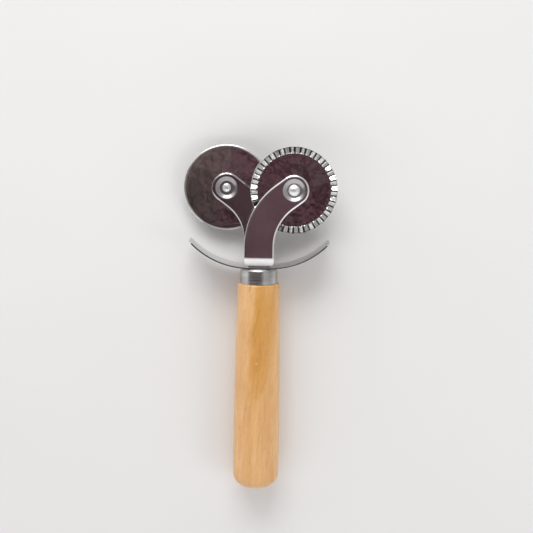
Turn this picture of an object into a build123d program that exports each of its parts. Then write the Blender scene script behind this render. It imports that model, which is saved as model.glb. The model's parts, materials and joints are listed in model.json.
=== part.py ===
from build123d import *
from math import asin, cos, degrees, radians, sin
import os

# Double pizza and pastry cutter: a plain wheel and a fluted wheel, each riveted in its own
# pair of curved legs, on a turned wooden handle with a steel ferrule and a curved finger guard.
# Millimetres. The tool lies on its back: +Y from the butt to the wheels, +X to the fluted
# wheel, +Z up. The script works from the butt's centre with the handle's axis on Y, and the
# last step sets the origin under the middle of the tool, on the table.

# Wooden handle
handle_length = 123.0
handle_belly_radius = 13.6
handle_top_radius = 12.1
butt_flat_radius = 5.0
butt_round_length = 7.9
handle_top_rounding = 1.0
neck_fit = 0.05
neck_end_gap = 0.3

# Steel ferrule, a drawn cup on the handle's neck
ferrule_radius = 10.9
ferrule_height = 9.3
ferrule_wall = 0.6
ferrule_shoulder_radius = 2.0

# Tang, a steel rod in the handle whose thin end is peened over in the forks
tang_radius = 2.5
tang_depth = 55.0
tang_tip_length = 3.0
tang_fit = 0.05
tang_groove_count = 4
tang_groove_depth = 0.35
tang_groove_width = 1.2
tang_groove_pitch = 7.0
tenon_radius = 1.6
tenon_fit = 0.05
tenon_head_lip = 0.7
tenon_head_height = 1.0
tenon_head_room = 0.1
bore_end_gap = 1.5

# Finger guard, a thin strip bent in an arc
guard_thickness = 0.8
guard_depth = 18.0
guard_span = 81.0
guard_rise = 15.3
guard_corner_radius = 3.0

# Forks, two strips of one sheet, folded in a U one inside the other
fork_sheet = 1.0
leg_width = 17.2
leg_corner_radius = 2.3
leg_turn = 53.0
leg_end_straight = 7.0
leg_edge_rounding = 0.4
outer_bend_radius = 5.0
inner_bend_inside_radius = 0.6
wheel_offset = 19.5
wheel_height = 44.8

# Round dishes pressed in the legs towards the wheel, with the rivet in their floor
dish_depth = 1.2
dish_rim_radius = 6.1
dish_floor_radius = 3.9
dish_press_radius = 0.6
dish_blend_width = 1.1
hub_play = 0.3

# Rivets
shank_radius = 2.0
rivet_fit = 0.05
rivet_head_radius = 3.35
rivet_head_height = 1.8
rivet_head_edge = 0.4
rivet_end_radius = 2.6
rivet_end_height = 1.0
rivet_end_hole_radius = 1.0
rivet_end_hole_depth = 1.4

# Wheels
wheel_radius = 25.0
wheel_sheet = 0.8
wheel_running_gap = 0.06
edge_bevel_width = 1.0
edge_land = 0.2
flute_count = 24
flute_length = 3.9
flute_run_in = 0.9
flute_height = 2.0

# One overrun for every cut
cut_overrun = 2.0

# Heights along the handle's axis, from the butt
ferrule_top = handle_length + ferrule_height
neck_top = ferrule_top - ferrule_wall - neck_end_gap
fork_seat = ferrule_top + guard_thickness
inner_fork_seat = fork_seat + fork_sheet
wheel_station = fork_seat + wheel_height
overall_length = wheel_station + wheel_radius

# Levels across the tool, from the handle's axis
tenon_head_radius = tenon_radius + tenon_head_lip
inner_bend_radius = inner_bend_inside_radius + fork_sheet
inner_half_depth = tenon_head_radius + tenon_head_room + inner_bend_radius
wheel_gap = wheel_sheet + 2 * (dish_depth + hub_play)
outer_half_depth = inner_half_depth + wheel_gap + fork_sheet
wheel_level = inner_half_depth + wheel_gap / 2

# The legs' centre line: straight up, one arc, and a short straight to the wheel's axis
leg_half = leg_width / 2
turn_angle = radians(leg_turn)
leg_bend_radius = (wheel_offset - leg_end_straight * sin(turn_angle)) / (1 - cos(turn_angle))
leg_bend_start = wheel_station - leg_bend_radius * sin(turn_angle) - leg_end_straight * cos(turn_angle)
leg_top = wheel_station + leg_half

half_turn = Rot(0, 180, 0)


def rod_y(radius, start, end):
    """A round bar on the handle's axis, between two heights."""
    return Pos(0, (start + end) / 2, 0) * Rot(90, 0, 0) * Cylinder(radius, end - start)


def turned(outline, axis):
    """A solid of revolution from a closed outline."""
    return revolve(make_face(outline), axis=axis)


def dome_arc(radius, rise, top):
    """The outline of a round dome, from its top on the axis to its rim."""
    sphere_radius = (radius**2 + rise**2) / (2 * rise)
    return JernArc((0, top), (1, 0), sphere_radius, -degrees(asin(radius / sphere_radius)))


def make_handle():
    neck_radius = ferrule_radius - ferrule_wall - neck_fit
    neck_chamfer = ferrule_shoulder_radius - ferrule_wall
    rise = handle_length - butt_round_length
    taper = handle_belly_radius - handle_top_radius
    side_radius = (rise**2 + taper**2) / (2 * taper)
    side_turn = degrees(asin(rise / side_radius))
    butt = EllipticalCenterArc(
        (butt_flat_radius, butt_round_length),
        handle_belly_radius - butt_flat_radius,
        butt_round_length,
        start_angle=270,
        arc_size=90,
    )
    side = JernArc((handle_belly_radius, butt_round_length), (0, 1), side_radius, side_turn)
    rest = Polyline(
        (handle_top_radius, handle_length),
        (neck_radius, handle_length),
        (neck_radius, neck_top - neck_chamfer),
        (neck_radius - neck_chamfer, neck_top),
        (0, neck_top),
        (0, 0),
        (butt_flat_radius, 0),
    )
    body = turned(butt + side + rest, Axis.Y)
    shoulder = body.edges().filter_by(GeomType.CIRCLE).filter_by(
        lambda edge: abs(edge.radius - handle_top_radius) < neck_fit
    )
    body = fillet(shoulder, handle_top_rounding)
    bore_bottom = neck_top - tang_depth - bore_end_gap
    return body - rod_y(tang_radius + tang_fit, bore_bottom, neck_top + cut_overrun)


def make_ferrule():
    wall_inside = ferrule_radius - ferrule_wall
    shoulder_start = ferrule_top - ferrule_shoulder_radius
    crown_radius = ferrule_radius - ferrule_shoulder_radius
    hole = tang_radius + tang_fit
    outside = JernArc((ferrule_radius, shoulder_start), (0, 1), ferrule_shoulder_radius, 90)
    inside = JernArc((wall_inside, shoulder_start), (0, 1), ferrule_shoulder_radius - ferrule_wall, 90)
    crown = Polyline(
        (crown_radius, ferrule_top),
        (hole, ferrule_top),
        (hole, ferrule_top - ferrule_wall),
        (crown_radius, ferrule_top - ferrule_wall),
    )
    skirt = Polyline(
        (wall_inside, shoulder_start),
        (wall_inside, handle_length),
        (ferrule_radius, handle_length),
        (ferrule_radius, shoulder_start),
    )
    return turned(outside + crown + inside + skirt, Axis.Y)


def make_tang():
    """A rod with barb grooves in the handle, and a thin tenon with a domed head in the forks."""
    tip = neck_top - tang_depth
    head_seat = inner_fork_seat + fork_sheet
    groove_radius = tang_radius - tang_groove_depth
    points = [(0, tip), (tang_radius / 2, tip), (tang_radius, tip + tang_tip_length)]
    for groove in range(tang_groove_count):
        low = tip + tang_tip_length + tang_groove_pitch * (groove + 1)
        high = low + tang_groove_width
        points += [(tang_radius, low), (groove_radius, low), (groove_radius, high), (tang_radius, high)]
    points += [(tang_radius, ferrule_top), (tenon_radius, ferrule_top), (tenon_radius, head_seat)]
    dome = dome_arc(tenon_head_radius, tenon_head_height, head_seat + tenon_head_height)
    outline = Polyline(*points, (tenon_head_radius, head_seat))
    middle = Line(dome @ 0, outline @ 0)
    return turned(outline + dome + middle, Axis.Y)


def make_guard():
    seat_half = leg_half - leg_corner_radius
    reach = guard_span / 2 - seat_half
    arc_radius = (reach**2 + guard_rise**2) / (2 * guard_rise)
    arc_turn = degrees(asin(reach / arc_radius))
    under = JernArc((seat_half, ferrule_top), (1, 0), arc_radius + guard_thickness / 2, arc_turn)
    over = JernArc((seat_half, fork_seat), (1, 0), arc_radius - guard_thickness / 2, arc_turn)
    seat = Polyline(
        (seat_half, fork_seat),
        (0, fork_seat),
        (0, ferrule_top),
        (seat_half, ferrule_top),
    )
    end = Line(under @ 1, over @ 1)
    half = extrude(make_face(under + end + over + seat), guard_depth / 2, both=True)
    corners = half.faces().sort_by(Axis.X)[-1].edges().sort_by(Axis.Z)
    half = fillet([corners[0], corners[-1]], guard_corner_radius)
    strip = half + half_turn * half
    return strip - rod_y(tenon_radius + tenon_fit, ferrule_top - cut_overrun, fork_seat + cut_overrun)


def leg_outline(seat):
    """Front view of a leg that leans to +X, from its seat to the round end about the rivet."""
    left = Line((-leg_half, seat), (-leg_half, leg_bend_start))
    left_arc = JernArc(left @ 1, left % 1, leg_bend_radius + leg_half, -leg_turn)
    left_end = Line(left_arc @ 1, left_arc @ 1 + (left_arc % 1) * leg_end_straight)
    head = JernArc(left_end @ 1, left_end % 1, leg_half, -180)
    right_end = Line(head @ 1, head @ 1 + (head % 1) * leg_end_straight)
    right_arc = JernArc(right_end @ 1, right_end % 1, leg_bend_radius - leg_half, leg_turn)
    right = Line(right_arc @ 1, (leg_half, seat))
    base = Line(right @ 1, left @ 0)
    face = make_face(left + left_arc + left_end + head + right_end + right_arc + right + base)
    return fillet(face.vertices().sort_by(Axis.Y)[:2], leg_corner_radius)


def folded_strip(half_depth, bend_radius, seat):
    """Side view of a U of sheet, drawn across the whole width of both legs."""
    length = leg_top - seat + cut_overrun
    middle = seat + length / 2
    outside = Plane.YZ * Pos(middle, 0) * Rectangle(length, 2 * half_depth)
    outside = fillet(outside.vertices().sort_by(Axis.Y)[:2], bend_radius)
    hollow = Plane.YZ * Pos(middle + fork_sheet, 0) * Rectangle(length, 2 * (half_depth - fork_sheet))
    hollow = fillet(hollow.vertices().sort_by(Axis.Y)[:2], bend_radius - fork_sheet)
    return extrude(outside - hollow, wheel_offset + leg_width, both=True)


def pressed_dish():
    """A round dish with its floor towards +Z, in a sheet that lies between zero and its thickness."""
    hole = shank_radius + rivet_fit
    ring = dish_rim_radius + dish_blend_width
    floor = dish_depth + fork_sheet
    outline = Polyline(
        (hole, dish_depth),
        (dish_floor_radius, dish_depth),
        (dish_rim_radius, 0),
        (ring, 0),
        (ring, fork_sheet),
        (dish_rim_radius, fork_sheet),
        (dish_floor_radius, floor),
        (hole, floor),
        (hole, dish_depth),
    )
    face = make_face(outline)
    bends = [vertex for vertex in face.vertices() if hole + rivet_fit < vertex.X < ring - rivet_fit]
    face = fillet(bends, dish_press_radius)
    return revolve(Plane.XZ * face, axis=Axis.Z)


def round_leg_edges(leg, fold_top):
    """The leg's flat plate with its long edges rounded, back on its sharp-edged fold."""
    cut = Plane.XZ.offset(-fold_top)
    fold = split(leg, cut, keep=Keep.TOP)
    plate = split(leg, cut, keep=Keep.BOTTOM)
    faces = plate.faces().filter_by(Axis.Z)
    rims = [edge for face in faces for edge in face.edges() if edge.center().Y > fold_top + leg_edge_rounding]
    return fold + fillet(rims, leg_edge_rounding)


def make_fork(half_depth, bend_radius, seat, wheel_side):
    """Both legs of one fork. wheel_side is 1 where the front leg's wheel lies at higher Z, or -1."""
    leg = extrude(leg_outline(seat), half_depth + cut_overrun) & folded_strip(half_depth, bend_radius, seat)
    leg = round_leg_edges(leg, seat + bend_radius)
    away_face = half_depth - fork_sheet if wheel_side > 0 else half_depth
    tilt = Rot(0, 0, 0) if wheel_side > 0 else Rot(180, 0, 0)
    ring = dish_rim_radius + dish_blend_width
    hole = Pos(wheel_offset, wheel_station, half_depth - fork_sheet / 2) * Cylinder(ring, 2 * fork_sheet)
    leg = leg - hole + Pos(wheel_offset, wheel_station, away_face) * tilt * pressed_dish()
    fork = leg + half_turn * leg
    return fork - rod_y(tenon_radius + tenon_fit, seat - cut_overrun, seat + fork_sheet + cut_overrun)


def make_rivet():
    """Round head outside the outer leg, and a rolled end behind the inner leg's dish."""
    head_seat = outer_half_depth - dish_depth
    end_seat = inner_half_depth - fork_sheet + dish_depth
    crown = head_seat + rivet_head_height
    dome = dome_arc(rivet_head_radius, rivet_head_height - rivet_head_edge, crown)
    shank = Polyline(
        dome @ 1,
        (rivet_head_radius, head_seat),
        (shank_radius, head_seat),
        (shank_radius, end_seat),
        (rivet_end_radius, end_seat),
    )
    rolled_middle = (rivet_end_radius + rivet_end_hole_radius) / 2
    rolled = ThreePointArc(
        (rivet_end_radius, end_seat),
        (rolled_middle, end_seat - rivet_end_height),
        (rivet_end_hole_radius, end_seat),
    )
    hollow = Polyline(
        (rivet_end_hole_radius, end_seat),
        (rivet_end_hole_radius, end_seat + rivet_end_hole_depth),
        (0, end_seat + rivet_end_hole_depth),
        (0, crown),
    )
    face = make_face(dome + shank + rolled + hollow)
    solid = revolve(Plane.XZ * face, axis=Axis.Z)
    return Pos(wheel_offset, wheel_station, 0) * solid


def make_plain_wheel():
    """A flat disc whose rim is ground to a narrow edge from both faces."""
    bore = shank_radius + wheel_running_gap
    face = wheel_sheet / 2
    bevel_start = wheel_radius - edge_bevel_width
    outline = Polyline(
        (bore, -face),
        (bevel_start, -face),
        (wheel_radius, -edge_land / 2),
        (wheel_radius, edge_land / 2),
        (bevel_start, face),
        (bore, face),
        close=True,
    )
    disc = revolve(Plane.XZ * make_face(outline), axis=Axis.Z)
    return Pos(wheel_offset, wheel_station, wheel_level) * disc


def flute_section(radius, height):
    """One wave across the sheet, square to the wheel's radius, with its ridge in the middle."""
    half_pitch = radius * sin(radians(180 / flute_count)) / cos(radians(180 / flute_count))
    low = (-height - wheel_sheet) / 2
    high = (height - wheel_sheet) / 2
    points = [
        (radius, -half_pitch, low),
        (radius, 0, high),
        (radius, half_pitch, low),
        (radius, half_pitch, low + wheel_sheet),
        (radius, 0, high + wheel_sheet),
        (radius, -half_pitch, low + wheel_sheet),
    ]
    return Polyline(*points, close=True)


def make_fluted_wheel():
    flute_start = wheel_radius - flute_length
    flat_radius = flute_start - flute_run_in
    outside = wheel_radius + flute_run_in
    start_height = flute_height * flute_start / outside
    sections = [
        make_face(flute_section(flat_radius, 0)),
        make_face(flute_section(flute_start, start_height)),
        make_face(flute_section(outside, flute_height)),
    ]
    flute = loft(sections, ruled=True)
    disc = extrude(RegularPolygon(flat_radius, flute_count, major_radius=False), wheel_sheet / 2, both=True)
    disc = Rot(0, 0, 180 / flute_count) * disc
    for flute_number in range(flute_count):
        disc += Rot(0, 0, flute_number * 360 / flute_count) * flute
    disc &= Cylinder(wheel_radius, wheel_sheet + flute_height + cut_overrun)
    disc -= Cylinder(shank_radius + wheel_running_gap, wheel_sheet + cut_overrun)
    return Pos(wheel_offset, wheel_station, wheel_level) * disc


def main():
    rivet = make_rivet()
    parts = {
        "handle": make_handle(),
        "ferrule": make_ferrule(),
        "tang": make_tang(),
        "finger_guard": make_guard(),
        "outer_fork": make_fork(outer_half_depth, outer_bend_radius, fork_seat, -1),
        "inner_fork": make_fork(inner_half_depth, inner_bend_radius, inner_fork_seat, 1),
        "fluted_wheel": make_fluted_wheel(),
        "fluted_wheel_rivet": rivet,
        "plain_wheel": half_turn * make_plain_wheel(),
        "plain_wheel_rivet": half_turn * rivet,
    }
    place = Pos(0, -overall_length / 2, handle_belly_radius)
    os.makedirs("parts", exist_ok=True)
    for name, shape in parts.items():
        export_step(place * shape, f"parts/{name}.step")


main()
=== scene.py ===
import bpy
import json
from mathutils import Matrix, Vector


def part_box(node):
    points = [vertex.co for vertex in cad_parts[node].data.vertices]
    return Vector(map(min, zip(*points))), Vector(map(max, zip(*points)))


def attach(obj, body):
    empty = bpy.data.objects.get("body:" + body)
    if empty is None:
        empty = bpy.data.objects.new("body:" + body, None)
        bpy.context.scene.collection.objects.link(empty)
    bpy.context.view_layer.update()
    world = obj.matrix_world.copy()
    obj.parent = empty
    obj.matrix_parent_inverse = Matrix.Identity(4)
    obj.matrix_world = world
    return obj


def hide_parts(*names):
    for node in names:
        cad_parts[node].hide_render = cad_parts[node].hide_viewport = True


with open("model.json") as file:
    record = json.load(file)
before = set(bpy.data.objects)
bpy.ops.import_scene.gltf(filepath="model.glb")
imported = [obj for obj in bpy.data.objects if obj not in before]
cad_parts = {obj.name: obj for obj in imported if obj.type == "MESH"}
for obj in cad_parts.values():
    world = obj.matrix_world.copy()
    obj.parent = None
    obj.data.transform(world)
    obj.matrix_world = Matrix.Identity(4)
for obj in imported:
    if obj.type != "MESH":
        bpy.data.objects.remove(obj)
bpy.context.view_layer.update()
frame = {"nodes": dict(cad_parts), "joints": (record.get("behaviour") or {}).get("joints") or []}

import json
import math

import bmesh
import bpy
from mathutils import Matrix, Vector, geometry

MM = 0.001
SCENE = bpy.context.scene

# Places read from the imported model, in metres
JOINTS = {joint["name"]: Vector(joint["pos_m"]) for joint in frame["joints"]}
FLUTED_AXIS = JOINTS["fluted_wheel_spin"]
PLAIN_AXIS = JOINTS["plain_wheel_spin"]
WHEEL_OFFSET = FLUTED_AXIS.x
WHEEL_Y = FLUTED_AXIS.y
AXIS_Z = (FLUTED_AXIS.z + PLAIN_AXIS.z) / 2
HANDLE_LOW, HANDLE_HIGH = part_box("handle")
FERRULE_LOW, FERRULE_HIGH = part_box("ferrule")
GUARD_LOW, GUARD_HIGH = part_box("finger_guard")
GUARD_HALF_DEPTH = (GUARD_HIGH.z - GUARD_LOW.z) / 2

# Sizes of the sheet parts. An edge is (how far its wear reaches in, how deep it goes)
LEG_HALF = 8.6 * MM
LEG_CORNER = 2.3 * MM
LEG_TURN = math.radians(53)
LEG_END = 7 * MM
SHEET = 1 * MM
SHEET_EDGE = (1.15 * MM, 0.46 * MM)
OUTER_BEND = 5 * MM
INNER_BEND = 1.6 * MM
DISH_DEPTH = 1.2 * MM
DISH_RIM = 6.8 * MM
DISH_FLOOR = 3.8 * MM
GUARD_SHEET = 0.8 * MM
GUARD_EDGE = (0.14 * MM, 0.2 * MM)
GUARD_CORNER = 3 * MM
GUARD_SEAT = LEG_HALF - LEG_CORNER
GUARD_HALF_SPAN = 40.5 * MM
GUARD_RISE = 15.3 * MM

# Sizes of the wheels
WHEEL_RADIUS = 25 * MM
WHEEL_HALF_SHEET = 0.4 * MM
WAVES = 24

# Radii of the holes
WHEEL_BORE = 2.06 * MM
SHANK_HOLE = 2.05 * MM
TANG_HOLE = 2.55 * MM
TENON_HOLE = 1.65 * MM


# Mesh tools


def finished(name, mesh, sharp_angle):
    """A piece with smooth shading, sharp creases and normals that keep flat faces flat."""
    shell = bmesh.new()
    shell.from_mesh(mesh)
    bmesh.ops.remove_doubles(shell, verts=shell.verts, dist=1e-7)
    bmesh.ops.recalc_face_normals(shell, faces=shell.faces)
    shell.to_mesh(mesh)
    shell.free()
    mesh.polygons.foreach_set("use_smooth", [True] * len(mesh.polygons))
    mesh.set_sharp_from_angle(angle=math.radians(sharp_angle))
    piece = bpy.data.objects.new(name, mesh)
    SCENE.collection.objects.link(piece)
    weighted = piece.modifiers.new("flat_faces", "WEIGHTED_NORMAL")
    weighted.keep_sharp = True
    weighted.weight = 80
    return piece


def lathe(name, profile, centre, axis, steps, sharp_angle=35):
    """Turns a profile of (radius, height) points about the y or z axis through centre."""
    points, faces, rings = [], [], []
    for radius, height in profile:
        if radius < 1e-7:
            rings.append([len(points)])
            points.append((0.0, 0.0, height))
            continue
        rings.append(list(range(len(points), len(points) + steps)))
        for step in range(steps):
            angle = 2 * math.pi * step / steps
            points.append((radius * math.cos(angle), radius * math.sin(angle), height))
    for low, high in zip(rings, rings[1:]):
        for step in range(steps):
            after = (step + 1) % steps
            if len(low) == 1:
                faces.append((low[0], high[after], high[step]))
            elif len(high) == 1:
                faces.append((low[step], low[after], high[0]))
            else:
                faces.append((low[step], low[after], high[after], high[step]))
    mesh = bpy.data.meshes.new(name)
    mesh.from_pydata(points, [], faces)
    if axis == "y":
        mesh.transform(Matrix.Rotation(-math.pi / 2, 4, "X"))
    mesh.transform(Matrix.Translation(centre))
    return finished(name, mesh, sharp_angle)


def arc(centre, radius, start, end, steps):
    """Points on an arc, angles in degrees."""
    angles = [math.radians(start + (end - start) * k / steps) for k in range(steps + 1)]
    return [(centre[0] + radius * math.cos(a), centre[1] + radius * math.sin(a)) for a in angles]


def spaced(points, gap):
    """The same closed loop with points at even gaps."""
    loop = [Vector(p) for p in points]
    total = [0.0]
    for k, point in enumerate(loop):
        total.append(total[-1] + (loop[(k + 1) % len(loop)] - point).length)
    count = max(8, round(total[-1] / gap))
    made, side = [], 0
    for k in range(count):
        want = total[-1] * k / count
        while total[side + 1] < want:
            side += 1
        share = (want - total[side]) / max(total[side + 1] - total[side], 1e-12)
        made.append(loop[side].lerp(loop[(side + 1) % len(loop)], share))
    return made


def inset(loop, distance):
    """A closed counter-clockwise loop, moved inwards."""
    moved = []
    for k, here in enumerate(loop):
        along = (loop[(k + 1) % len(loop)] - loop[k - 1]).normalized()
        moved.append(here + Vector((-along.y, along.x)) * distance)
    return moved


def sheet_mesh(name, outline, place, thickness, edge, inner, holes):
    """Sheet metal with worn edges, bent from its flat blank.

    The outline, the inner points and the holes lie on the blank, and place maps its
    (u, v, height) to space.
    """
    wide, deep = edge
    hole_steps, edge_steps, edge_power = 48, 6, 1.4
    border = inset(outline, wide)
    count = len(border)
    seeds = list(border)
    links = [(k, (k + 1) % count) for k in range(count)]
    hole_rings = []
    for centre, radius in holes:
        first = len(seeds)
        seeds += [Vector(p) for p in arc(centre, radius, 0, 360, hole_steps)[:-1]]
        hole_rings.append(range(first, len(seeds)))
        links += [(k, k + 1 if k + 1 < len(seeds) else first) for k in range(first, len(seeds))]
    seeds += [Vector(p) for p in inner]
    cut = geometry.delaunay_2d_cdt(seeds, links, [list(range(count))], 1, 1e-8)
    flat, triangles, origins = cut[0], cut[2], cut[3]
    where = {source: index for index, sources in enumerate(origins) for source in sources}

    def in_hole(face):
        middle = sum((flat[k] for k in face), Vector((0, 0))) / len(face)
        return any((middle - Vector(centre)).length < radius for centre, radius in holes)

    kept = [face for face in triangles if not in_hole(face)]
    half = thickness / 2
    under = len(flat)
    points = [place(p.x, p.y, height) for height in (half, -half) for p in flat]
    faces = [tuple(face) for face in kept]
    faces += [tuple(k + under for k in reversed(face)) for face in kept]
    rims = [[where[k] for k in range(count)]]
    for side in (1, -1):
        turns = [math.radians(90 - 90 * k / edge_steps) for k in range(1, edge_steps + 1)]
        for turn in turns if side > 0 else turns[::-1]:
            out, up = math.cos(turn) ** edge_power, math.sin(turn) ** edge_power
            loop = inset(outline, wide * (1 - out))
            rims.append(range(len(points), len(points) + count))
            points += [place(p.x, p.y, side * (half - deep + deep * up)) for p in loop]
    rims.append([where[k] + under for k in range(count)])
    for ring in hole_rings:
        top = [where[k] for k in ring]
        for here, after in zip(top[-1:] + top, top):
            faces.append((here, after, after + under, here + under))
    for upper, lower in zip(rims, rims[1:]):
        faces += [(upper[k - 1], lower[k - 1], lower[k], upper[k]) for k in range(count)]
    mesh = bpy.data.meshes.new(name)
    mesh.from_pydata(points, [], faces)
    loose = bmesh.new()
    loose.from_mesh(mesh)
    bmesh.ops.delete(loose, geom=[v for v in loose.verts if not v.link_faces], context="VERTS")
    loose.to_mesh(mesh)
    loose.free()
    return mesh


def piece_of(piece, node, body, material):
    """Hides a CAD node and lets a piece stand in its place, ride on its body and take the
    material.
    """
    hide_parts(node)
    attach(piece, body)
    piece.data.materials.clear()
    piece.data.materials.append(material)


# Node tools


def rgba(value):
    """A colour of three numbers with its alpha. Anything else comes back as it is."""
    return (*value, 1) if isinstance(value, tuple) and len(value) == 3 else value


def darker(colour, share):
    return tuple(part * share for part in colour)


class Graph:
    """Short calls for building one node tree. Values are numbers or the outputs of nodes."""

    def __init__(self, tree, coordinate):
        self.tree = tree
        self.place = self.node("ShaderNodeTexCoord").outputs[coordinate]

    def node(self, kind, **settings):
        made = self.tree.nodes.new(kind)
        for key, value in settings.items():
            setattr(made, key, value)
        return made

    def feed(self, socket, value):
        if hasattr(value, "is_output"):
            self.tree.links.new(value, socket)
        else:
            socket.default_value = value

    def split(self, source=None):
        made = self.node("ShaderNodeSeparateXYZ")
        self.feed(made.inputs["Vector"], source or self.place)
        return made.outputs

    def joined(self, *parts):
        made = self.node("ShaderNodeCombineXYZ")
        for socket, part in zip(made.inputs, parts):
            self.feed(socket, part)
        return made.outputs["Vector"]

    def noise(self, scale, detail, roughness=0.5, source=None, turn=(0, 0, 0), distortion=0.0):
        """Noise with scale cells to a unit, one number or one for each axis."""
        stretched = self.node("ShaderNodeMapping")
        self.feed(stretched.inputs["Vector"], source or self.place)
        self.feed(stretched.inputs["Scale"], scale if isinstance(scale, tuple) else (scale,) * 3)
        self.feed(stretched.inputs["Rotation"], turn)
        made = self.node("ShaderNodeTexNoise")
        self.feed(made.inputs["Vector"], stretched.outputs["Vector"])
        self.feed(made.inputs["Scale"], 1.0)
        self.feed(made.inputs["Detail"], detail)
        self.feed(made.inputs["Roughness"], roughness)
        self.feed(made.inputs["Distortion"], distortion)
        return made.outputs["Fac"]

    def math(self, operation, a, b=0.0, c=0.0):
        made = self.node("ShaderNodeMath", operation=operation)
        for socket, value in zip(made.inputs, (a, b, c)):
            self.feed(socket, value)
        return made.outputs["Value"]

    def plus(self, a, b):
        return self.math("ADD", a, b)

    def times(self, first, *others):
        for other in others:
            first = self.math("MULTIPLY", first, other)
        return first

    def times_plus(self, a, b, c):
        return self.math("MULTIPLY_ADD", a, b, c)

    def away(self, value, centre):
        """How far a value is from centre, either way."""
        return self.math("ABSOLUTE", self.math("SUBTRACT", value, centre))

    def length(self, a, b):
        """The length of the vector (a, b)."""
        return self.math("POWER", self.plus(self.times(a, a), self.times(b, b)), 0.5)

    def rise(self, value, low, high, out_low=0.0, out_high=1.0):
        """A smooth step from out_low to out_high as the value goes from low to high."""
        made = self.node("ShaderNodeMapRange", interpolation_type="SMOOTHSTEP")
        self.feed(made.inputs["Value"], value)
        self.feed(made.inputs["From Min"], low)
        self.feed(made.inputs["From Max"], high)
        self.feed(made.inputs["To Min"], out_low)
        self.feed(made.inputs["To Max"], out_high)
        return made.outputs["Result"]

    def fall(self, value, low, high, top=1.0):
        """A smooth step from top down to 0."""
        return self.rise(value, low, high, top, 0.0)

    def mix(self, share, a, b, blend="MIX"):
        """Colour a, with a share of colour b. The colour sockets have no names of their own."""
        first, second, result = 6, 7, 2
        made = self.node("ShaderNodeMix", data_type="RGBA", blend_type=blend)
        self.feed(made.inputs["Factor"], share)
        self.feed(made.inputs[first], rgba(a))
        self.feed(made.inputs[second], rgba(b))
        return made.outputs[result]

    def bump(self, height, distance, before=None, strength=1.0):
        made = self.node("ShaderNodeBump")
        self.feed(made.inputs["Height"], height)
        self.feed(made.inputs["Distance"], distance)
        self.feed(made.inputs["Strength"], strength)
        if before is not None:
            self.feed(made.inputs["Normal"], before)
        return made.outputs["Normal"]


class Finish(Graph):
    """One material. Its noise is laid out in metres, in the object's own frame."""

    def __init__(self, name):
        self.material = bpy.data.materials.new(name)
        self.material.use_nodes = True
        super().__init__(self.material.node_tree, "Object")
        self.shader = self.tree.nodes["Principled BSDF"]

    def finish(self, colour, roughness, normal=None, **fixed):
        self.feed(self.shader.inputs["Base Color"], colour)
        self.feed(self.shader.inputs["Roughness"], roughness)
        if normal is not None:
            self.feed(self.shader.inputs["Normal"], normal)
        for key, value in fixed.items():
            self.shader.inputs[key.replace("_", " ")].default_value = value
        return self.material


# Materials


def sheet_steel(name, dark, bright):
    """Polished stainless sheet: cloudy and finely buffed, with dishes painted darker (duller
    pressed steel, and painted shade) and folds painted bright (a painted highlight on rougher
    steel).
    """
    m = Finish(name)
    cloud_size = 18 * MM
    clouds = m.noise(1 / cloud_size, 5, 0.6)
    specks = m.noise(1200, 2)
    buffing = m.noise((900, 90, 900), 4, 0.7, turn=(0, 0, 0.5))
    shade = m.mix(m.rise(clouds, 0.3, 0.7), dark, bright)
    grain = m.times(m.plus(specks, buffing), 0.5)
    shade = m.mix(m.rise(grain, 0.35, 0.7, 0.0, 0.22), shade, darker(bright, 0.75))
    roughness = m.rise(m.times(m.plus(buffing, clouds), 0.5), 0.3, 0.7, 0.07, 0.16)
    # The dishes round the rivets are painted darker than the flats: partly the duller steel the
    # press leaves, partly painted shade for their dimmer reflection
    x, y, z = m.split()
    aside = m.math("SUBTRACT", m.math("ABSOLUTE", x), WHEEL_OFFSET)
    above = m.math("SUBTRACT", y, WHEEL_Y)
    pressed_and_shaded = m.fall(m.length(aside, above), DISH_RIM - 0.5 * MM, DISH_RIM)
    shade = m.mix(m.times(pressed_and_shaded, 0.75), shade, (0.36, 0.345, 0.36))
    roughness = m.times_plus(pressed_and_shaded, 0.2, roughness)
    # The stretched outside of the folds is rougher, and it is painted near white and made less
    # metallic: a painted highlight
    low = m.fall(y, FERRULE_HIGH.y + 5.3 * MM, FERRULE_HIGH.y + 6.9 * MM)
    middle = m.fall(m.math("ABSOLUTE", x), 8 * MM, 9 * MM)
    outside = m.rise(m.away(z, AXIS_Z), 3.6 * MM, 4.2 * MM)
    folded = m.times(low, middle, outside)
    shade = m.mix(folded, shade, (0.96, 0.95, 0.95))
    roughness = m.times_plus(folded, 0.5, roughness)
    m.feed(m.shader.inputs["Metallic"], m.times_plus(folded, -0.75, 1.0))
    normal = m.bump(m.noise(60, 2), 0.02 * MM)
    normal = m.bump(m.noise((240, 160, 240), 1), 0.03 * MM, normal)
    normal = m.bump(buffing, 0.0012 * MM, normal)
    return m.finish(shade, roughness, normal)


def strip_steel(name):
    """The finger guard: rolled strip with fine lines along it, and edges that are rougher and
    painted dark, a painted shade.
    """
    m = Finish(name)
    lines = m.noise((25, 25, 1500), 4, 0.65)
    clouds = m.noise((55, 55, 120), 4, 0.6)
    shade = m.mix(m.rise(clouds, 0.3, 0.7), (0.60, 0.58, 0.59), (0.72, 0.70, 0.71))
    shade = m.mix(m.rise(lines, 0.4, 0.7, 0.0, 0.25), shade, (0.45, 0.43, 0.44))
    depth = m.away(m.split()["Z"], AXIS_Z)
    # Painted shade: the faces at the front and back edges are painted nearly black, and made
    # rougher
    sheared_and_shaded = m.rise(depth, GUARD_HALF_DEPTH - 0.35 * MM, GUARD_HALF_DEPTH - 0.15 * MM)
    shade = m.mix(m.times(sheared_and_shaded, 0.96), shade, (0.12, 0.105, 0.115))
    roughness = m.times_plus(sheared_and_shaded, 0.2, m.rise(lines, 0.3, 0.7, 0.12, 0.24))
    normal = m.bump(m.noise(40, 2), 0.03 * MM)
    normal = m.bump(lines, 0.003 * MM, normal)
    return m.finish(shade, roughness, normal, Metallic=1.0)


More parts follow.
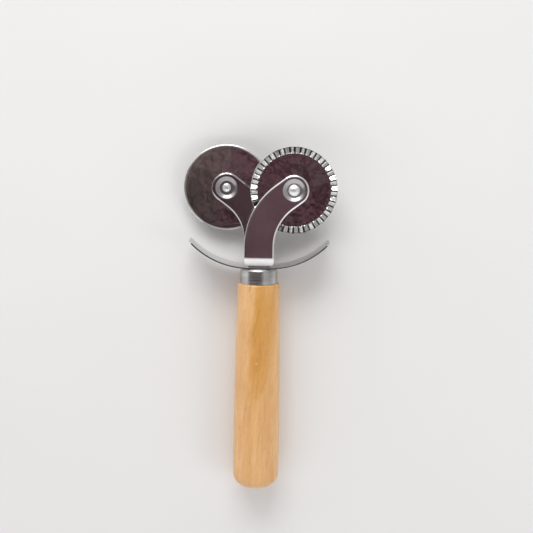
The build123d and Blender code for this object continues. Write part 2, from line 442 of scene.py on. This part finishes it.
def ferrule_steel(name):
    """The ferrule: fine lathe lines round the tool, on polished steel."""
    m = Finish(name)
    lines = m.noise((20, 3200, 20), 3, 0.6)
    clouds = m.noise((90, 260, 90), 4)
    shade = m.mix(m.rise(clouds, 0.3, 0.7), (0.46, 0.46, 0.455), (0.62, 0.62, 0.61))
    shade = m.mix(m.rise(lines, 0.35, 0.65, 0.0, 0.35), shade, (0.33, 0.32, 0.32))
    roughness = m.rise(lines, 0.3, 0.7, 0.22, 0.36)
    return m.finish(shade, roughness, m.bump(lines, 0.012 * MM), Metallic=1.0)


def wheel_steel(name, centre, dark, bright, rim_start, rim_rough, waves=0):
    """A mirror polished disc, cloudy and faintly ringed, with a finely ground rim."""
    m = Finish(name)
    local = m.node("ShaderNodeVectorMath", operation="SUBTRACT")
    m.feed(local.inputs[0], m.place)
    m.feed(local.inputs[1], tuple(centre))
    x, y = m.split(local.outputs["Vector"])[:2]
    radius = m.length(x, y)
    across_rings = m.joined(m.times(radius, 2600.0), m.times(m.noise(30, 1), 2.0))
    rings = m.noise(1.0, 4, 0.65, across_rings)
    clouds = m.noise(75, 7, 0.68, distortion=0.6)
    blotches = m.noise(320, 4, 0.7)
    cloudy = m.times_plus(blotches, 0.4, m.times(clouds, 0.65))
    shade = m.mix(m.rise(cloudy, 0.41, 0.63), dark, bright)
    shade = m.mix(m.rise(rings, 0.45, 0.75, 0.0, 0.2), shade, darker(bright, 0.7))
    ground = m.mix(m.rise(blotches, 0.3, 0.7), (0.60, 0.60, 0.60), (0.71, 0.71, 0.70))
    rim = m.rise(radius, rim_start - 0.3 * MM, rim_start + 0.3 * MM)
    shade = m.mix(rim, shade, ground)
    uneven = m.times_plus(rings, 0.4, m.times(clouds, 0.6))
    roughness = m.times_plus(rim, rim_rough, m.rise(uneven, 0.3, 0.7, 0.02, 0.065))
    normal = m.bump(m.noise(70, 1), 0.03 * MM)
    normal = m.bump(m.noise(150, 1), 0.06 * MM, normal)
    if waves:
        # Dark lines painted on the rim's ridges and in its valleys: a painted reflection of the
        # dark ceiling these faces mirror
        swing = m.times(m.math("ARCTAN2", y, x), float(waves))
        off = m.plus(m.math("SINE", swing), m.times_plus(blotches, 0.4, -0.2))
        line = m.fall(m.math("ABSOLUTE", off), 0.34, 0.68, 0.94)
        reach = m.times_plus(blotches, 1.4 * MM, radius)
        line = m.times(line, m.rise(reach, 21.3 * MM, 21.9 * MM))
        # A dark line near the cut edge, which itself is bright
        inside = m.fall(radius, 24.6 * MM, 24.8 * MM)
        edge = m.times(m.rise(radius, 24.25 * MM, 24.45 * MM, 0.0, 0.7), inside)
        line = m.times(m.math("MAXIMUM", line, edge), inside)
        shade = m.mix(line, shade, (0.09, 0.075, 0.08))
        normal = m.bump(m.times(m.noise(420, 2), rim), 0.16 * MM, normal)
    normal = m.bump(rings, 0.0015 * MM, normal)
    return m.finish(shade, roughness, normal, Metallic=1.0)


def rivet_metal(name):
    """Bright, slightly hammered metal with a satin gloss."""
    m = Finish(name)
    marks = m.noise(900, 4)
    shade = m.mix(m.rise(m.noise(300, 2), 0.3, 0.7), (0.92, 0.92, 0.92), (0.97, 0.97, 0.97))
    roughness = m.rise(marks, 0.3, 0.7, 0.38, 0.52)
    return m.finish(shade, roughness, m.bump(marks, 0.012 * MM), Metallic=1.0)


def rod_steel(name):
    """The tang: drawn rod with lines along it."""
    m = Finish(name)
    lines = m.noise((2200, 60, 2200), 3)
    shade = m.mix(m.rise(lines, 0.3, 0.7), (0.44, 0.44, 0.45), (0.58, 0.58, 0.58))
    roughness = m.rise(lines, 0.3, 0.7, 0.28, 0.42)
    return m.finish(shade, roughness, m.bump(lines, 0.01 * MM), Metallic=1.0)


# Small marks on the front of the handle, in mm: start and end of each, its half width, and
# how dark it is
WOOD_MARKS = (
    ((-4.2, 22.5), (-5.6, 16.5), 0.6, 0.5),
    ((0.9, 9.0), (-2.9, -9.6), 0.5, 0.3),
    ((9.3, 21.5), (9.8, 18.5), 0.8, 0.35),
    ((-4.2, -48.0), (-5.2, -63.0), 2.2, 0.1),
    ((6.0, -31.0), (2.0, -43.0), 0.6, 0.16),
    ((0.3, -19.5), (-1.0, -29.5), 1.8, 0.14),
)


def wood_mark(m, x, y, start, end, width):
    """A mask for a thin line, soft at its sides and its ends."""
    lean = (end[0] - start[0]) / (end[1] - start[1])
    line = m.times_plus(y, -lean, m.math("SUBTRACT", x, (start[0] - lean * start[1]) * MM))
    line = m.fall(m.math("ABSOLUTE", line), 0.2 * width * MM, width * MM)
    top = m.fall(y, (start[1] - 1.5) * MM, start[1] * MM)
    tail = m.rise(y, end[1] * MM, (end[1] + 2.5) * MM)
    return m.times(line, top, tail)


def handle_wood(name):
    """Pale beech under clear varnish: slanting grain, soft clouds, a warm heart, small marks."""
    m = Finish(name)
    pale, warm, deep = (0.81, 0.49, 0.22), (0.71, 0.38, 0.14), (0.50, 0.215, 0.06)
    x, y, z = m.split()
    drift = m.noise((18, 12, 18), 2)
    slant = m.times_plus(y, -0.07, x)
    bent = m.joined(m.times_plus(drift, 16 * MM, slant), y, m.times_plus(drift, 12 * MM, z))
    bands = m.noise((170, 12, 170), 3, 0.55, bent)
    streaks = m.noise((620, 34, 620), 4, 0.6, bent)
    fibres = m.noise((2300, 150, 2300), 3, 0.6, bent)
    flecks = m.noise((1500, 260, 1500), 1, source=bent)
    clouds = m.noise((75, 34, 75), 4, 0.6, bent)
    broad = m.times(m.plus(clouds, bands), 0.5)
    shade = m.mix(m.rise(broad, 0.38, 0.62, 0.0, 0.85), pale, warm)
    # The warmer heart of the plank shows as a broad band on the front, towards the ferrule
    wander = m.times_plus(clouds, 10 * MM, m.times(bands, 4 * MM))
    across = m.fall(m.away(m.plus(wander, slant), 10.2 * MM), 3.5 * MM, 9 * MM)
    along = m.rise(y, -60 * MM, -26 * MM)
    front = m.rise(z, 12 * MM, 22 * MM)
    heart = m.times(across, along, front, m.rise(clouds, 0.30, 0.62, 0.5, 1.0))
    shade = m.mix(heart, shade, (0.66, 0.325, 0.075))
    shade = m.mix(m.rise(streaks, 0.50, 0.78, 0.0, 0.50), shade, deep)
    shade = m.mix(m.rise(fibres, 0.42, 0.75, 0.0, 0.24), shade, deep)
    shade = m.mix(m.rise(flecks, 0.62, 0.80, 0.0, 0.42), shade, (0.40, 0.17, 0.06))
    for start, end, width, dark in WOOD_MARKS:
        mark = m.times(wood_mark(m, x, y, start, end, width), front, dark)
        shade = m.mix(mark, shade, (0.36, 0.13, 0.04))
    # One small pale spot on the front
    spot_x, spot_y = -0.45 * MM, -24 * MM
    spot_distance = m.length(m.math("SUBTRACT", x, spot_x), m.math("SUBTRACT", y, spot_y))
    pale_spot = m.times(m.fall(spot_distance, 0.3 * MM, 1 * MM, 0.45), front)
    shade = m.mix(pale_spot, shade, (0.86, 0.60, 0.32))
    roughness = m.rise(fibres, 0.3, 0.7, 0.34, 0.48)
    normal = m.bump(fibres, 0.02 * MM)
    normal = m.bump(streaks, 0.04 * MM, normal, 0.6)
    return m.finish(shade, roughness, normal, Coat_Weight=0.25, Coat_Roughness=0.22)


OUTER_STEEL = sheet_steel("polished_sheet", (0.77, 0.75, 0.76), (0.90, 0.88, 0.89))
# The inner fork has the same sheet painted darker: a painted shade for where it sits back, in
# the shade of the outer fork
SHADED_INNER_STEEL = sheet_steel("polished_inner_sheet_painted_shade", (0.49, 0.46, 0.47), (0.59, 0.56, 0.57))
GUARD_STEEL = strip_steel("guard_strip")
FLUTED_STEEL = wheel_steel(
    "fluted_wheel_steel", FLUTED_AXIS, (0.54, 0.51, 0.515), (0.66, 0.64, 0.64),
    rim_start=21.1 * MM, rim_rough=0.1, waves=WAVES,
)
PLAIN_STEEL = wheel_steel(
    "plain_wheel_steel", PLAIN_AXIS, (0.66, 0.65, 0.64), (0.79, 0.785, 0.775),
    rim_start=23.6 * MM, rim_rough=0.3,
)
FERRULE_STEEL = ferrule_steel("ferrule_steel")
RIVET = rivet_metal("rivet_metal")
WOOD = handle_wood("handle_wood")
ROD = rod_steel("rod_steel")


# Handle and ferrule


def handle_profile():
    """From the butt's centre round the outside to the neck, and down into the tang's bore."""
    low, high = HANDLE_LOW.y, FERRULE_LOW.y
    belly = (HANDLE_HIGH.x - HANDLE_LOW.x) / 2
    top_radius, flat, round_length, shoulder = 12.1 * MM, 5 * MM, 7.9 * MM, 1 * MM
    ferrule_wall_and_fit, chamfer, bore_depth = 0.65 * MM, 1.4 * MM, 56.5 * MM
    butt_steps, side_steps = 24, 60
    rise, taper = high - low - round_length, belly - top_radius
    side_radius = (rise**2 + taper**2) / (2 * taper)
    profile = [(0, low), (flat * 0.5, low), (flat, low)]
    for k in range(1, butt_steps + 1):
        angle = math.radians(-90 + 90 * k / butt_steps)
        radius = flat + (belly - flat) * math.cos(angle)
        profile.append((radius, low + round_length * (1 + math.sin(angle))))
    last = high - shoulder
    for k in range(1, side_steps + 1):
        y = low + round_length + (last - low - round_length) * k / side_steps
        bulge = math.sqrt(side_radius**2 - (y - low - round_length) ** 2)
        profile.append((belly - side_radius + bulge, y))
    edge = profile[-1][0] - shoulder
    profile += arc((edge, last), shoulder, 15, 90, 6)
    neck = (FERRULE_HIGH.x - FERRULE_LOW.x) / 2 - ferrule_wall_and_fit
    top, bottom = HANDLE_HIGH.y, HANDLE_HIGH.y - bore_depth
    profile += [(neck, high), (neck, top - chamfer), (neck - chamfer, top)]
    profile += [(TANG_HOLE, top), (TANG_HOLE, bottom), (0, bottom)]
    return profile


def ferrule_profile():
    """A cup with a hole for the tang, a round shoulder and a thin rolled lip at the mouth."""
    low, high = FERRULE_LOW.y, FERRULE_HIGH.y
    outer = (FERRULE_HIGH.x - FERRULE_LOW.x) / 2
    round_radius, wall, lip = 2 * MM, 0.6 * MM, 0.22 * MM
    shoulder = (outer - round_radius, high - round_radius)
    profile = [(TANG_HOLE, high - wall)]
    profile += arc(shoulder, round_radius - wall, 90, 0, 10)
    profile += arc((outer - wall + lip, low + lip), lip, 180, 270, 4)
    profile += arc((outer - lip, low + lip), lip, 270, 360, 4)
    profile += arc(shoulder, round_radius, 0, 90, 14)
    profile += [(TANG_HOLE, high), (TANG_HOLE, high - wall)]
    return profile


on_axis = Vector((0, 0, AXIS_Z))
handle = lathe("handle_turned", handle_profile(), on_axis, "y", 160)
piece_of(handle, "handle", "root", WOOD)
ferrule = lathe("ferrule_cup", ferrule_profile(), on_axis, "y", 128)
piece_of(ferrule, "ferrule", "root", FERRULE_STEEL)


# Forks


def leg_sides(start, radius):
    """Left and right side of one leg: corners at the seat, a straight, and the turn outwards."""
    corner_steps, straight_steps, turn_steps = 12, 19, 48
    spine = []  # middle of the leg, and the way from there to its right side
    for k in range(corner_steps + 1):
        angle = math.radians(90 * k / corner_steps)
        half = LEG_HALF - LEG_CORNER + LEG_CORNER * math.sin(angle)
        spine.append((0, LEG_CORNER * (1 - math.cos(angle)), half, 0))
    for k in range(1, straight_steps + 1):
        y = LEG_CORNER + (start - LEG_CORNER) * k / straight_steps
        spine.append((0, y, LEG_HALF, 0))
    for k in range(1, turn_steps + 1):
        angle = LEG_TURN * k / turn_steps
        x, y = radius * (1 - math.cos(angle)), start + radius * math.sin(angle)
        side = Vector((math.cos(angle), -math.sin(angle))) * LEG_HALF
        spine.append((x, y, side.x, side.y))
    left = [(x - dx, y - dy) for x, y, dx, dy in spine]
    right = [(x + dx, y + dy) for x, y, dx, dy in spine]
    return left, right


def fork(name, node, bend_radius, dish_side, material):
    """Both legs of one folded strip. dish_side is 1 where the dishes stand out of it, or -1."""
    low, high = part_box(node)
    seat, half_depth = low.y, (high.z - low.z) / 2
    if dish_side > 0:
        half_depth -= DISH_DEPTH
    rise = WHEEL_Y - seat
    radius = (WHEEL_OFFSET - LEG_END * math.sin(LEG_TURN)) / (1 - math.cos(LEG_TURN))
    start = rise - radius * math.sin(LEG_TURN) - LEG_END * math.cos(LEG_TURN)
    flat = half_depth - bend_radius
    middle = bend_radius - SHEET / 2
    bend_length = middle * math.pi / 2

    def along(y):
        """Length on the flat blank for a height above the seat."""
        if y >= bend_radius:
            return flat + bend_length + y - bend_radius
        return flat + middle * math.acos((bend_radius - y) / bend_radius)

    left, right = leg_sides(start, radius)
    turn = math.degrees(LEG_TURN)
    head = arc((WHEEL_OFFSET, rise), LEG_HALF, 180 - turn, -turn, 60)
    front = [Vector((x, along(y))) for x, y in left + head + right[::-1]]
    loop = front + [-p for p in front]
    loop.reverse()
    outline_gap, row_gap, margin, past_rim = 0.45 * MM, 0.55 * MM, 1.1 * MM, 0.3 * MM
    outline = spaced(loop, outline_gap)

    def place(u, v, height):
        """The seat is flat, each end of it bends up into a leg, and the legs have the dishes."""
        side, reach = (1 if v >= 0 else -1), abs(v)
        if reach <= flat:
            return (u, seat + SHEET / 2 - height, AXIS_Z + v)
        if reach <= flat + bend_length:
            angle = (reach - flat) / middle
            y = seat + bend_radius - (middle + height) * math.cos(angle)
            return (u, y, AXIS_Z + side * (flat + (middle + height) * math.sin(angle)))
        y = seat + bend_radius + reach - flat - bend_length
        far = math.hypot(u - side * WHEEL_OFFSET, y - WHEEL_Y)
        share = min(max((DISH_RIM - far) / (DISH_RIM - DISH_FLOOR), 0.0), 1.0)
        press = DISH_DEPTH * share * share * (3 - 2 * share) * dish_side
        return (u, y, AXIS_Z + side * (half_depth - SHEET / 2 + height + press))

    # Points across the bends, so that they come out round
    inner = []
    rows, columns = max(6, round(bend_length / row_gap)), 14
    for row in range(rows + 1):
        for side in (-1, 1):
            v = flat + bend_length * row / rows
            y = bend_radius * (1 - math.cos((v - flat) / middle))
            corner = math.sqrt(max(LEG_CORNER**2 - max(LEG_CORNER - y, 0) ** 2, 0))
            width = GUARD_SEAT + corner - margin
            inner += [(width * (2 * c / columns - 1), side * v) for c in range(columns + 1)]
    # Rings of points over the dishes, each turned half a step from the last
    holes = [((0, 0), TENON_HOLE)]
    ring_count, ring_steps = 18, 64
    for side in (-1, 1):
        centre = (side * WHEEL_OFFSET, side * along(rise))
        holes.append((centre, SHANK_HOLE))
        for k in range(1, ring_count + 1):
            ring = SHANK_HOLE + (DISH_RIM + past_rim - SHANK_HOLE) * k / ring_count
            first = 180 / ring_steps * (k % 2)
            inner += arc(centre, ring, first, 360 + first, ring_steps)[:-1]
    mesh = sheet_mesh(name, outline, place, SHEET, SHEET_EDGE, inner, holes)
    piece_of(finished(name, mesh, 40), node, "root", material)


fork("outer_fork_folded", "outer_fork", OUTER_BEND, -1, OUTER_STEEL)
fork("inner_fork_folded", "inner_fork", INNER_BEND, 1, SHADED_INNER_STEEL)


# Finger guard


def finger_guard(name):
    """A strip with rounded corners, flat under the forks and curved up on both sides."""
    reach = GUARD_HALF_SPAN - GUARD_SEAT
    radius = (reach**2 + GUARD_RISE**2) / (2 * GUARD_RISE)
    length = GUARD_SEAT + radius * math.asin(reach / radius)
    under = GUARD_LOW.y

    def place(u, v, height):
        side, distance = (1 if u >= 0 else -1), abs(u)
        if distance <= GUARD_SEAT:
            return (u, under + GUARD_SHEET / 2 + height, AXIS_Z - v)
        angle = (distance - GUARD_SEAT) / radius
        bent = radius - height
        x = GUARD_SEAT + bent * math.sin(angle)
        y = under + GUARD_SHEET / 2 + radius - bent * math.cos(angle)
        return (side * x, y, AXIS_Z - v)

    corners = []
    for cx, cy, start in ((1, 1, 0), (-1, 1, 90), (-1, -1, 180), (1, -1, 270)):
        centre = (cx * (length - GUARD_CORNER), cy * (GUARD_HALF_DEPTH - GUARD_CORNER))
        corners += arc(centre, GUARD_CORNER, start, start + 90, 12)
    outline_gap, margin, corner_margin = 0.7 * MM, 1.2 * MM, 0.9 * MM
    outline = spaced(corners, outline_gap)
    inner = []
    columns, rows = 96, 14
    for c in range(columns + 1):
        for r in range(rows + 1):
            u = (length - margin) * (2 * c / columns - 1)
            v = (GUARD_HALF_DEPTH - margin) * (2 * r / rows - 1)
            aside = max(abs(u) - length + GUARD_CORNER, 0)
            above = max(abs(v) - GUARD_HALF_DEPTH + GUARD_CORNER, 0)
            if math.hypot(aside, above) < GUARD_CORNER - corner_margin:
                inner.append((u, v))
    holes = [((0, 0), TENON_HOLE)]
    mesh = sheet_mesh(name, outline, place, GUARD_SHEET, GUARD_EDGE, inner, holes)
    piece_of(finished(name, mesh, 40), "finger_guard", "root", GUARD_STEEL)


finger_guard("finger_guard_strip")


# Wheels


def plain_wheel():
    """A flat disc with a bevel on both sides of its rim."""
    bore, rim, face = WHEEL_BORE, WHEEL_RADIUS, WHEEL_HALF_SHEET
    land, bevel, broken_edge = 0.1 * MM, 1 * MM, 0.05 * MM
    outline = [(bore, -face + broken_edge), (bore + broken_edge, -face)]
    outline += [(bore + (rim - bevel - bore) * k / 6, -face) for k in range(1, 7)]
    outline += [(rim - 0.5 * MM, -face + 0.07 * MM), (rim - 0.04 * MM, -land * 0.6)]
    outline += [(rim, -land * 0.2)]
    profile = outline + [(r, -h) for r, h in reversed(outline)]
    profile.append(profile[0])
    return lathe("plain_wheel_disc", profile, PLAIN_AXIS, "z", 192, 25)


def fluted_wheel():
    """A disc whose rim is pressed into waves with slightly rounded ridges."""
    samples, roundness = 18, 0.86
    steps = WAVES * samples
    flat, full, rim, half = 20.9 * MM, 21.7 * MM, WHEEL_RADIUS, WHEEL_HALF_SHEET
    wave_slope = 1.0 * MM / (rim + 0.9 * MM)  # height of the waves for each metre of radius
    worn = 0.2 * MM
    radii = [WHEEL_BORE, 3 * MM, 8 * MM, 14 * MM, 18 * MM, flat]
    radii += [flat + (full - flat) * k / 5 for k in range(1, 6)]
    radii += [full + (rim - full) * k / 8 for k in range(1, 9)]

    def lift(radius, angle):
        """Height of the waves, which start softly and grow with the radius."""
        if radius <= flat:
            return 0.0
        rise = min((radius - flat) / (full - flat), 1.0)
        rise = rise * rise * (3 - 2 * rise) if radius < full else 1.0
        wave = math.asin(roundness * math.cos(WAVES * angle)) / math.asin(roundness)
        return wave * radius * wave_slope * rise

    # Each ring is a radius and a side: -1 under the sheet, 1 on it, between them the edge
    rings = [(r, -1) for r in radii[:-1]]
    rings += [(rim - worn, -1), (rim, -0.4), (rim, 0.4), (rim - worn, 1)]
    rings += [(r, 1) for r in reversed(radii[:-1])]
    points, faces = [], []
    for radius, side in rings:
        for step in range(steps):
            angle = 2 * math.pi * step / steps
            z = lift(radius, angle) + side * half
            points.append((radius * math.cos(angle), radius * math.sin(angle), z))
    for ring in range(len(rings)):
        a, b = ring * steps, (ring + 1) % len(rings) * steps
        for step in range(steps):
            after = (step + 1) % steps
            faces.append((a + step, a + after, b + after, b + step))
    mesh = bpy.data.meshes.new("fluted_wheel_disc")
    mesh.from_pydata(points, [], faces)
    mesh.transform(Matrix.Translation(FLUTED_AXIS))
    return finished("fluted_wheel_disc", mesh, 30)


piece_of(fluted_wheel(), "fluted_wheel", "fluted_wheel", FLUTED_STEEL)
piece_of(plain_wheel(), "plain_wheel", "plain_wheel", PLAIN_STEEL)


# Rivets and tang


def rivet(name, node, side):
    """Round head, shank and a rolled end. side is 1 where the head is on the front, or -1."""
    low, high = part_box(node)
    length = high.z - low.z
    head_radius, rise, edge, shank = 3.35 * MM, 1.4 * MM, 0.4 * MM, 2 * MM
    rolled, hole, end_seat, depth = 2.6 * MM, 1 * MM, 0.9 * MM, 1.4 * MM
    ball = (head_radius**2 + rise**2) / (2 * rise)
    limit = math.degrees(math.asin(head_radius / ball))
    dome = arc((0, length - ball), ball, 90, 90 - limit, 18)[1:]
    foot = dome[-1][1]
    seat = length - rise - edge
    profile = [(0, length)] + dome[:-1]
    profile += [(head_radius - 0.03 * MM, foot + 0.02 * MM), (head_radius, foot - 0.06 * MM)]
    profile += [(head_radius, seat + 0.1 * MM), (head_radius - 0.1 * MM, seat), (shank, seat)]
    profile += [(shank, end_seat), (rolled, end_seat)]
    middle, half_width, roll_steps = (rolled + hole) / 2, (rolled - hole) / 2, 16
    for k in range(1, roll_steps):
        angle = math.pi * k / roll_steps
        radius = middle + half_width * math.cos(angle)
        profile.append((radius, end_seat * (1 - math.sin(angle))))
    floor_height = end_seat + depth
    profile += [(hole, end_seat), (hole * 0.92, end_seat + depth * 0.8)]
    profile += [(hole * 0.6, floor_height), (0, floor_height)]
    end = low.z if side > 0 else high.z
    centre = Vector(((low.x + high.x) / 2, (low.y + high.y) / 2, end))
    piece = lathe(name, [(r, h * side) for r, h in profile], centre, "z", 96, 40)
    piece_of(piece, node, "root", RIVET)


rivet("fluted_wheel_rivet_turned", "fluted_wheel_rivet", 1)
rivet("plain_wheel_rivet_turned", "plain_wheel_rivet", -1)

tang = frame["nodes"]["tang"]
tang.data.materials.clear()
tang.data.materials.append(ROD)


# Floor, light and camera


def floor():
    """A pale floor, painted greyer farther out all round: a painted shade that keeps the floor
    under the close key lamp from glaring.
    """
    reach = 3.0
    corners = [(x * reach, y * reach, 0) for x, y in ((-1, -1), (1, -1), (1, 1), (-1, 1))]
    mesh = bpy.data.meshes.new("floor")
    mesh.from_pydata(corners, [], [(0, 1, 2, 3)])
    made = bpy.data.objects.new("floor", mesh)
    SCENE.collection.objects.link(made)
    m = Finish("pale_floor")
    shade = m.mix(m.noise(8, 2), (0.80, 0.80, 0.795), (0.84, 0.84, 0.835))
    x, y = m.split()[:2]
    # Painted shade: darker with distance from the middle
    shade = m.mix(m.rise(m.length(x, y), 0.28, 0.70), shade, (0.60, 0.60, 0.597))
    mesh.materials.append(m.finish(shade, 0.7, Specular_IOR_Level=0.1))


def area_lamp(name, place, size, power, glossy):
    """A soft lamp that looks at the tool's head. Steel mirrors it only where glossy is true."""
    head = Vector((0, 0.05, 0.015))
    data = bpy.data.lights.new(name, "AREA")
    data.shape, data.size, data.size_y = "RECTANGLE", *size
    data.energy = power
    lamp = bpy.data.objects.new(name, data)
    SCENE.collection.objects.link(lamp)
    lamp.location = place
    lamp.rotation_mode = "QUATERNION"
    lamp.rotation_quaternion = (head - Vector(place)).to_track_quat("-Z", "Y")
    lamp.visible_glossy = glossy


def studio_world():
    """A white room, a little brighter towards -X and -Y, with a dark cloudy ceiling."""
    world = bpy.data.worlds.new("studio")
    world.use_nodes = True
    SCENE.world = world
    world.node_tree.nodes.clear()
    g = Graph(world.node_tree, "Generated")
    x, y, z = g.split()
    # The walls: brightness in the middle, and what each side adds
    wall = 0.90
    for side, gain in ((x, -0.5), (g.times(x, -1.0), 0.4), (g.times(y, -1.0), 0.55)):
        wall = g.times_plus(g.math("MAXIMUM", side, 0.0), gain, wall)
    wall = g.math("MINIMUM", wall, 1.05)
    # The ceiling, laid out flat: (p, q) is (0, 0) overhead and 1 from there at the horizon
    lift = g.math("MAXIMUM", g.plus(z, 1.0), 0.01)
    p, q = g.math("DIVIDE", x, lift), g.math("DIVIDE", y, lift)
    ceiling = g.joined(p, q)
    across = g.times(g.rise(p, -0.78, -0.58), g.fall(p, 0.17, 0.27))
    along = g.times(g.rise(q, -0.24, -0.17), g.fall(q, 0.18, 0.28))
    clouds = g.rise(g.noise(110, 2, 0.6, ceiling), 0.36, 0.64)
    brighter = g.times(g.rise(q, -0.056, -0.016), 0.55)
    left_share = g.times_plus(clouds, 0.42, brighter)
    left = g.mix(left_share, (0.024, 0.018, 0.021), (0.184, 0.137, 0.128))
    right = g.mix(clouds, (0.050, 0.017, 0.024), (0.194, 0.131, 0.149))
    # The right of it drifts between a redder and a greyer hue
    drift = g.rise(g.noise(75, 1, source=ceiling), 0.42, 0.58)
    hue = g.mix(drift, (1.0, 0.80, 0.83), (0.92, 1.0, 1.0))
    right = g.mix(1.0, right, hue, "MULTIPLY")
    patch = g.mix(g.rise(p, -0.036, -0.002), left, right)
    ground = g.node("ShaderNodeBackground")
    g.feed(ground.inputs["Color"], g.mix(g.times(across, along), wall, patch))
    out = g.node("ShaderNodeOutputWorld")
    g.feed(out.inputs["Surface"], ground.outputs["Background"])


def photo_camera():
    """A long lens over the head, tilted a little towards the wheels and turned a little."""
    distance, tilt, roll = 0.65, math.radians(8.5), math.radians(1.0)
    look = Vector((4.4 * MM, 31.15 * MM, AXIS_Z))
    photo_width, focal_pixels, sensor_width = 533, 1114, 36
    back = Vector((0, math.sin(tilt), math.cos(tilt)))
    level_up = (Vector((0, 1, 0)) - back * back.y).normalized()
    level_right = level_up.cross(back)
    up = level_up * math.cos(roll) - level_right * math.sin(roll)
    right = level_right * math.cos(roll) + level_up * math.sin(roll)
    data = bpy.data.cameras.new("photo_camera")
    data.type = "PERSP"
    data.sensor_width = sensor_width
    data.lens = sensor_width * focal_pixels / photo_width
    data.clip_start, data.clip_end = 0.01, 20
    camera = bpy.data.objects.new("photo_camera", data)
    SCENE.collection.objects.link(camera)
    turn = Matrix((right, up, back)).transposed().to_4x4()
    camera.matrix_world = Matrix.Translation(look + back * distance) @ turn
    SCENE.camera = camera


floor()
area_lamp("key", (-0.15, 1.05, 0.75), size=(0.9, 0.5), power=8, glossy=True)
area_lamp("fill", (0.95, -0.35, 0.75), size=(0.6, 0.6), power=2.4, glossy=False)
area_lamp("side", (-0.95, -0.30, 0.65), size=(0.6, 0.6), power=1.2, glossy=False)
studio_world()
photo_camera()
SCENE.view_settings.view_transform = "Standard"
